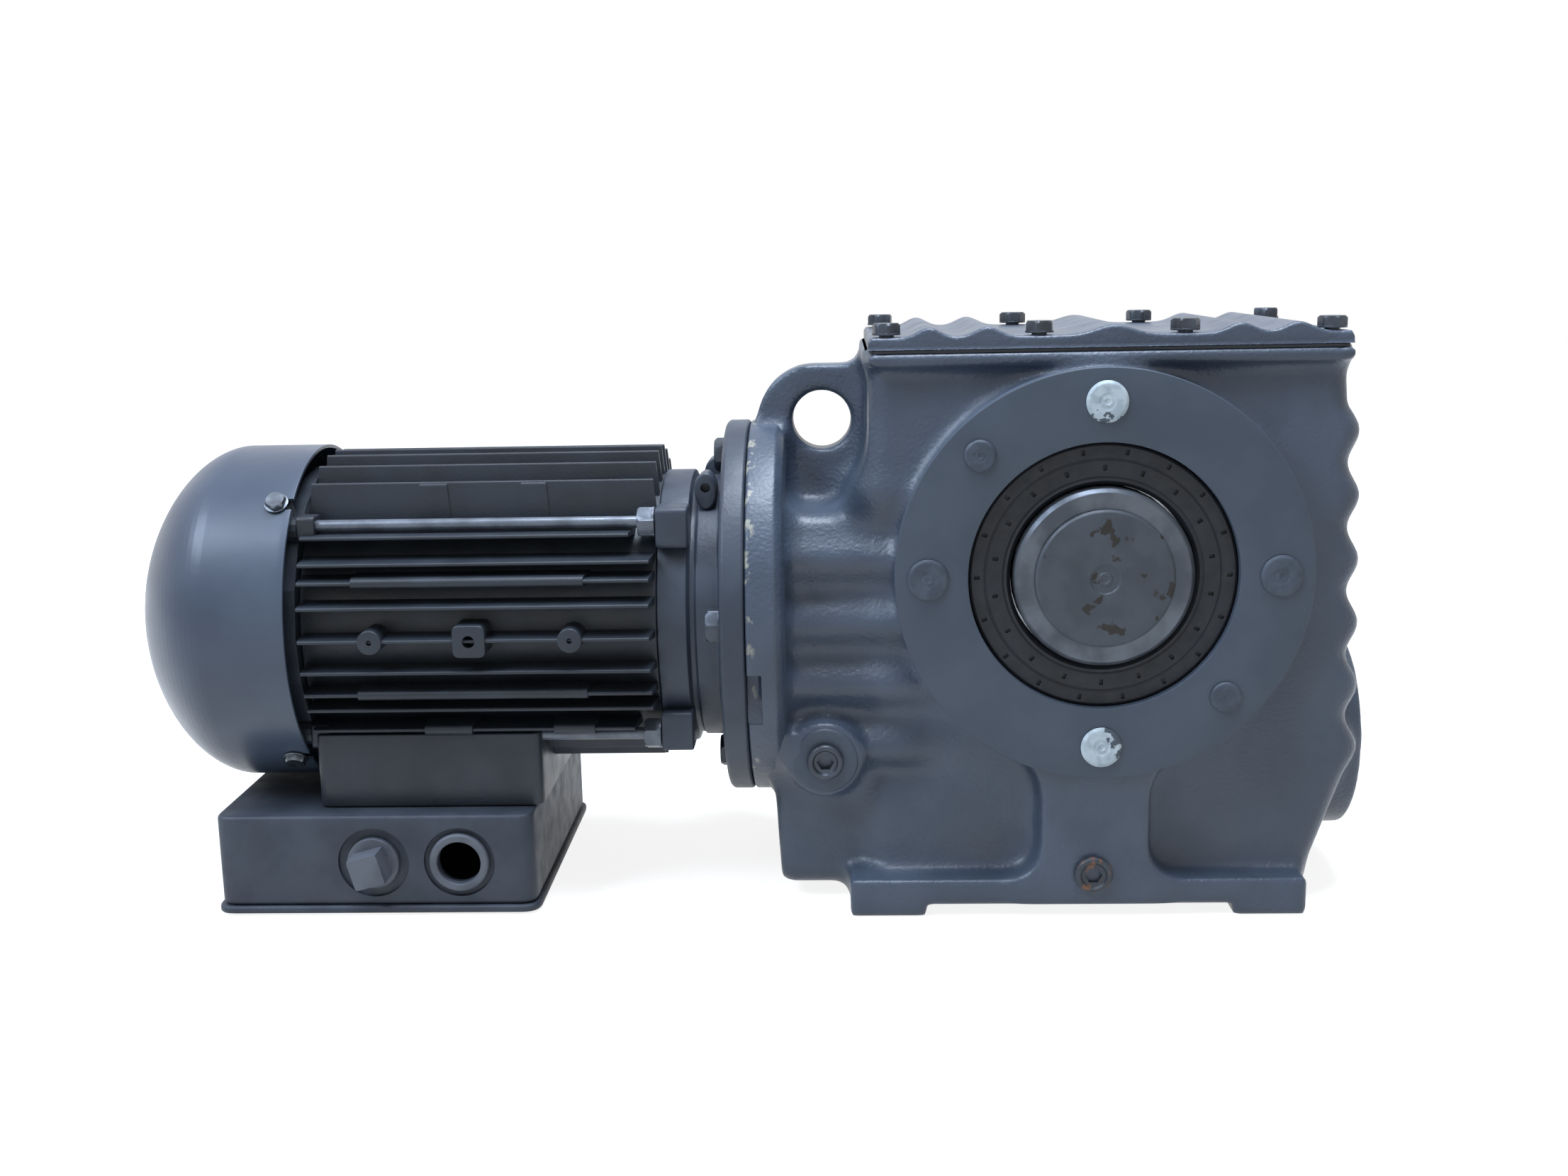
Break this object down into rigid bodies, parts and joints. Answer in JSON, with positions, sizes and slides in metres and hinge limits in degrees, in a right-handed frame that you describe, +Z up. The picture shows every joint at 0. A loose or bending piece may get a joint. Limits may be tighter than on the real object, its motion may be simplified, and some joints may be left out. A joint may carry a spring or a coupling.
{
  "type": "gearmotor",
  "caption": "Foot-mounted helical-worm gearmotor with a hollow output shaft, a finned fan-cooled flange motor and a terminal box under the motor.",
  "frame": {"origin": "middle of the object's box in plan, on the plane of the feet", "axes": "+X from the fan cowl along the motor axis to the gearbox, +Y along the output axis away from the level-plug side, +Z up from the feet"},
  "size_m": [0.5246, 0.16, 0.2379],
  "materials": {
    "housing_paint": "satin dark blue-grey paint on cast iron",
    "cover_paint": "satin dark blue-grey paint on sheet and pressed steel",
    "motor_paint": "satin dark grey paint on die-cast aluminium",
    "terminal_paint": "satin dark blue-grey paint on die-cast aluminium",
    "bearing_steel": "ground bearing steel",
    "fastener_steel": "painted steel fastener",
    "bright_fastener": "zinc-plated steel",
    "shaft_steel": "turned steel, oiled and dark",
    "gear_steel": "hardened and ground steel",
    "seal_rubber": "black nitrile rubber",
    "wheel_bronze": "centrifugally cast bronze",
    "plug_brass": "bright brass",
    "white_plastic": "white polyethylene, aged",
    "grey_plastic": "dark grey painted-over polyethylene",
    "black_plastic": "black nylon",
    "core_laminations": "laminated electrical steel with varnished copper windings"
  },
  "bodies": {
    "casing": {"gear_housing": "housing_paint", "top_cover": "cover_paint", "cover_gasket": "seal_rubber", "output_seal_front": "seal_rubber", "output_seal_rear": "seal_rubber", "output_bearing_front": "bearing_steel", "output_bearing_rear": "bearing_steel", "worm_bearing_input": "bearing_steel", "worm_bearing_end": "bearing_steel", "worm_end_cap": "cover_paint", "breather_valve": "plug_brass", "level_plug": "fastener_steel", "drain_plug": "fastener_steel", "front_endshield": "motor_paint", "motor_bearing_front": "bearing_steel", "motor_bearing_rear": "bearing_steel", "motor_oil_seal": "seal_rubber", "stator_housing": "motor_paint", "stator_core": "core_laminations", "rear_endshield": "motor_paint", "fan_cowl": "cover_paint", "terminal_box": "terminal_paint", "terminal_box_lid": "terminal_paint", "terminal_block": "black_plastic", "blanking_plug": "fastener_steel", "cover_bolt_1": "fastener_steel", "cover_bolt_2": "fastener_steel", "cover_bolt_3": "fastener_steel", "cover_bolt_4": "fastener_steel", "cover_bolt_5": "fastener_steel", "cover_bolt_6": "fastener_steel", "cover_bolt_7": "fastener_steel", "cover_bolt_8": "fastener_steel", "flange_bolt_1": "fastener_steel", "tie_rod_1": "bright_fastener", "cowl_screw_1": "bright_fastener", "flange_bolt_2": "fastener_steel", "tie_rod_2": "bright_fastener", "cowl_screw_2": "bright_fastener", "flange_bolt_3": "fastener_steel", "tie_rod_3": "bright_fastener", "cowl_screw_3": "bright_fastener", "flange_bolt_4": "fastener_steel", "tie_rod_4": "bright_fastener", "cowl_screw_4": "bright_fastener", "pad_cap_large_1": "grey_plastic", "pad_cap_large_2": "white_plastic", "pad_cap_large_3": "grey_plastic", "pad_cap_large_4": "white_plastic", "pad_cap_small_1": "grey_plastic", "pad_cap_small_2": "grey_plastic"},
    "output": {"hollow_shaft": "shaft_steel", "worm_wheel": "wheel_bronze", "bore_cap_front": "grey_plastic", "bore_cap_rear": "grey_plastic"},
    "worm": {"worm_shaft": "gear_steel", "helical_gear": "gear_steel"},
    "motor_rotor": {"rotor_shaft": "gear_steel", "rotor_core": "core_laminations", "fan": "black_plastic"}
  },
  "joints": [
    {"name": "output_spin", "type": "hinge", "parent": "casing", "child": "output", "pos_m": [0.14025, 0, 0.14], "axis": [0, 1, 0], "continuous": true},
    {"name": "worm_spin", "type": "hinge", "parent": "casing", "child": "worm", "pos_m": [0.14025, 0, 0.06], "axis": [1, 0, 0], "continuous": true},
    {"name": "motor_spin", "type": "hinge", "parent": "casing", "child": "motor_rotor", "pos_m": [-0.05975, 0, 0.116], "axis": [1, 0, 0], "continuous": true}
  ],
  "couplings": [
    {"joint": "worm_spin", "follows": "output_spin", "ratio": 15},
    {"joint": "motor_spin", "follows": "output_spin", "ratio": -45}
  ]
}
